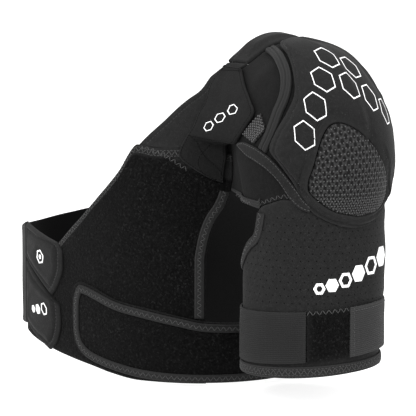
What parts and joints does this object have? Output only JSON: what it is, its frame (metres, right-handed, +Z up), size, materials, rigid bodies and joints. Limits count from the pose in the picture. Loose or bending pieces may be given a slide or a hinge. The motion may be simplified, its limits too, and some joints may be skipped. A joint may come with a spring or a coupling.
{
  "type": "shoulder brace",
  "caption": "Cloth shoulder support in its worn form: body wrap with belt and tabs, padded shoulder cap with mesh, cross strap, and a sleeve with a wrap strap.",
  "frame": {"origin": "where the brace sits on top of the wearer's left shoulder, at its inner face", "axes": "+Z up, the wearer faces -Y and their left side is +X; the body wrap runs to -X and the sleeve hangs below the origin"},
  "size_m": [0.4262, 0.225, 0.296],
  "materials": {
    "smooth_neoprene": "matte knitted neoprene facing",
    "fuzzy_loop": "matt brushed loop pile",
    "dark_stretch": "matt thin stretch cloth",
    "spacer_mesh": "open spacer mesh",
    "bound_band": "woven tape and elastic"
  },
  "bodies": {
    "root": {"front_panel": "smooth_neoprene", "neck_band": "smooth_neoprene", "back_yoke": "smooth_neoprene", "shoulder_base": "dark_stretch", "chest_panel": "fuzzy_loop", "back_panel": "smooth_neoprene", "sleeve": "smooth_neoprene", "shoulder_cap": "smooth_neoprene", "cap_mesh": "spacer_mesh", "cap_edge_tape_front": "bound_band", "cap_piping_front": "bound_band", "cap_edge_tape_back": "bound_band", "cap_piping_back": "bound_band", "vent_mesh": "spacer_mesh", "cross_strap": "bound_band", "belt": "smooth_neoprene", "upper_tab": "smooth_neoprene", "lower_tab": "smooth_neoprene", "lower_strap": "fuzzy_loop", "lower_strap_binding": "bound_band", "chest_armhole_binding": "bound_band", "shoulder_armhole_binding": "bound_band", "sleeve_top_binding": "bound_band", "sleeve_hem": "bound_band", "sleeve_strap": "bound_band", "sleeve_loop_patch": "fuzzy_loop", "strap_end_tab": "smooth_neoprene"}
  },
  "joints": []
}
